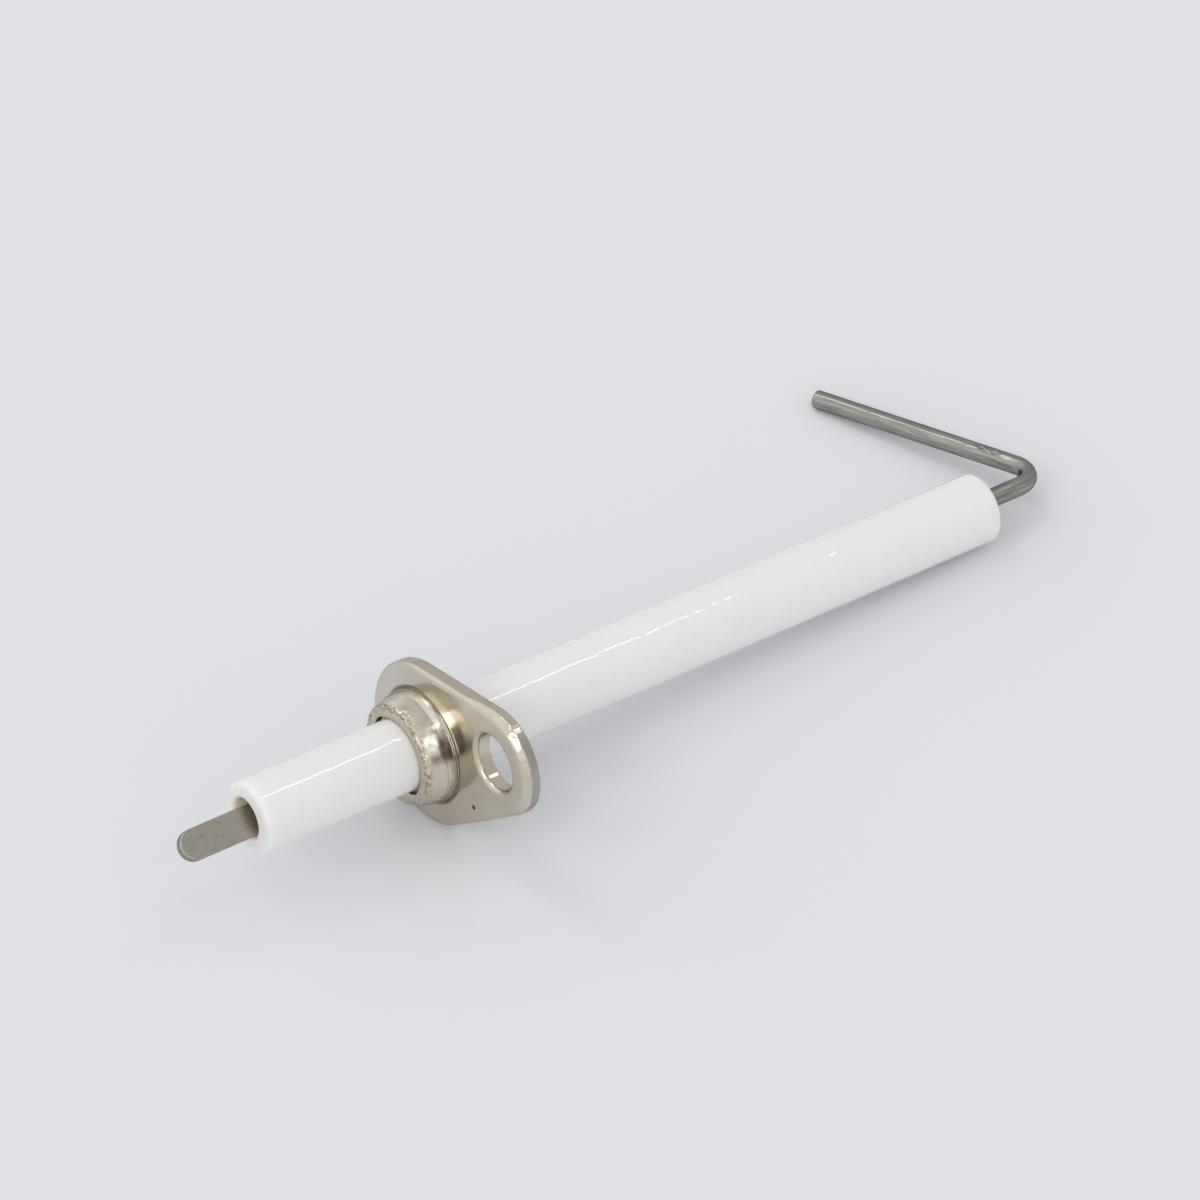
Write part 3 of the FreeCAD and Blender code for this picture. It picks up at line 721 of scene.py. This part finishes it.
def make_wire():
    """The electrode wire, swept along its path, flattened a little in the bend and nicked."""
    straight = BEND_START - WIRE_START
    total = straight + BEND_R * BEND_ANGLE + LEG
    hidden = straight - 5.5
    chamfer = 0.14
    along = list(np.arange(chamfer, hidden, 1.0)) + list(np.arange(hidden, total - chamfer, 0.09))
    along.append(total - chamfer)
    around = 80
    turn = np.linspace(0, 2 * math.pi, around, endpoint=False)
    rings = [(0.0, WIRE_R * f) for f in (0.35, 0.8)] + [(s, WIRE_R) for s in along]
    rings += [(total - chamfer * k, WIRE_R * f) for k, f in
              ((0.5, 0.965), (0.2, 0.91), (0.03, 0.85), (0.0, 0.6), (0.0, 0.3))]
    points, flow = [], []
    for s, radius in rings:
        (px, py), angle = wire_path(s)
        side = np.array((-math.sin(angle), math.cos(angle), 0.0))
        bend = float(band(np.array([s]), straight + 0.4, straight + BEND_R * BEND_ANGLE - 0.4, 1.2)[0])
        for t in turn:
            inner = math.cos(t)
            reach = radius * (1 - 0.035 * bend * inner * inner + 0.02 * bend * (1 - inner * inner))
            points.append(np.array((px, py, 0.0)) + side * reach * inner
                          + np.array((0, 0, 1)) * reach * math.sin(t))
            flow.append((s, radius * math.cos(t), radius * math.sin(t)))
    count = len(rings)
    faces = []
    for i in range(count - 1):
        a, b = i * around, (i + 1) * around
        faces += [(a + j, a + (j + 1) % around, b + (j + 1) % around, b + j) for j in range(around)]
    faces.append(tuple(range(around))[::-1])
    faces.append(tuple(range((count - 1) * around, count * around)))
    points, flow = np.array(points), np.array(flow)
    placed = (Matrix.Translation((0, 0, -WIRE_DROP)) @ Matrix.Rotation(-WIRE_TILT, 4, "Y")
              @ Matrix.Rotation(LEG_ROLL, 4, "X"))
    m = np.array(placed)
    points = points @ m[:3, :3].T + m[:3, 3]
    wire = new_piece("spark_wire", points, faces)
    points, normals = points_of(wire)
    streaks = 0.006 * bumps(flow * (0.08, 1, 1), 0.16, 3) + 0.006 * bumps(flow * (0.4, 1, 1), 0.35, 5)
    past_bend = flow[:, 0] - straight - BEND_R * BEND_ANGLE
    round_angle = np.arctan2(flow[:, 2], flow[:, 1])
    nick, rust = np.zeros(len(points)), np.zeros(len(points))
    for s, t, length, width, depth in NICKS:
        gap = np.abs((round_angle - t + math.pi) % (2 * math.pi) - math.pi)
        mark = bell(past_bend - s, length) * bell(gap, width)
        nick += depth * mark
        rust += (depth > 0.06) * mark
    shift = streaks - 0.008 - nick
    points = points + normals * shift[:, None]
    write_points(wire, inside(points, "electrode_rod"))
    layer = wire.data.attributes.new("flow", "FLOAT_VECTOR", "POINT")
    layer.data.foreach_set("vector", (flow * MM).astype(np.float32).ravel())
    exit_stain = bell(flow[:, 0] - (54.9 - WIRE_START) - 0.5, 0.5) * bell(np.abs(round_angle) - 2.95, 0.9)
    write_mask(wire, "stain_and_shade", exit_stain * 0.7 + rust * 0.3)
    return wire


# ---------------------------------------------------------------- blade

def make_blade():
    """The male blade with its crimp barrel."""
    blade = dense_copy("blade_terminal", "tab_blade", SKIN, 2)
    points, normals = points_of(blade)
    shift = 0.006 * bumps(points * (0.4, 1, 1), 0.8, 2) + 0.004 * bumps(points, 0.3, 4) - 0.006
    points = points + normals * shift[:, None]
    write_points(blade, inside(points, "blade_terminal"))
    layer = blade.data.attributes.new("flow", "FLOAT_VECTOR", "POINT")
    layer.data.foreach_set("vector", (points * MM).astype(np.float32).ravel())
    across = np.array((0, math.sin(BLADE_ROLL), -math.cos(BLADE_ROLL)))
    # darker side edges are a painted dark reflection; the blade is also darker brown where it runs into
    # the counterbore
    edge = np.clip(1.6 - 2 * np.abs(normals @ across), 0, 1) * band(points[:, 0], BLADE_NOSE, 0, 0.5)
    reach = points[:, 0] + 0.5 * bumps(points, 1.2, 6)
    write_mask(blade, "stain_and_shade", 0.32 * band(reach, -17.7, -10, 1.4) + 0.8 * edge)
    return blade


# ---------------------------------------------------------------- fillings

def make_filling(node, name, voxel, depth):
    """A cement filling with a rough skin, depth mm deep."""
    filling = dense_copy(node, name, voxel, 1)
    points, normals = points_of(filling)
    shift = depth * (bumps(points, 0.5, 3) + 0.5 * bumps(points, 0.2, 6) - 1)
    points = points + normals * shift[:, None]
    write_points(filling, inside(points, node))
    return filling


FLOOR_R = 6  # metres


def make_floor():
    turn = np.linspace(0, 2 * math.pi, 96, endpoint=False)
    rim = [table_point + FLOOR_R * (table_right * math.cos(t) + table_back * math.sin(t))
           for t in turn]
    floor = new_piece("floor", np.array([list(p) for p in rim]) / MM, [tuple(range(96))], smooth=False)
    floor.data.update()
    if Vector(floor.data.polygons[0].normal).dot(table_up) < 0:
        floor.data.flip_normals()
    return floor


nickel, ceramic = nickel_look(), ceramic_look()
wire_steel = steel_look("electrode_steel", (0.21, 0.205, 0.19), (0.45, 0.44, 0.415), (0.36, 0.31, 0.27),
                        (0.36, 0.20, 0.15), (22, 1, 1), 0.0065, 0.19)
blade_steel = steel_look("blade_steel", (0.35, 0.335, 0.29), (0.45, 0.43, 0.375), (0.46, 0.37, 0.31),
                         (0.27, 0.20, 0.15), (6, 1, 1), 0.0015, 0.28)
cement = cement_look("cement", (0.70, 0.68, 0.62), (0.50, 0.47, 0.42), 0.6)

for piece, node, material_slot, material in (
        (make_tube(), "insulator", "glazed_ceramic", ceramic),
        (make_flange(), "mounting_flange", "nickel_plated_steel", nickel),
        (make_wire(), "electrode_rod", "electrode_steel", wire_steel),
        (make_blade(), "blade_terminal", "blade_steel", blade_steel),
        (make_filling("collar_packing", "collar_cement", 0.12, 0.03), "collar_packing", "cement", cement),
        (make_filling("terminal_cement", "terminal_fill", 0.12, 0.03), "terminal_cement", "cement",
         cement),
        (make_filling("spark_end_cement", "spark_end_fill", 0.08, 0.02), "spark_end_cement", "cement",
         cement)):
    dress(piece, material)
    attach(piece, "root")
    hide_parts(node)

floor = make_floor()
dress(floor, floor_look())
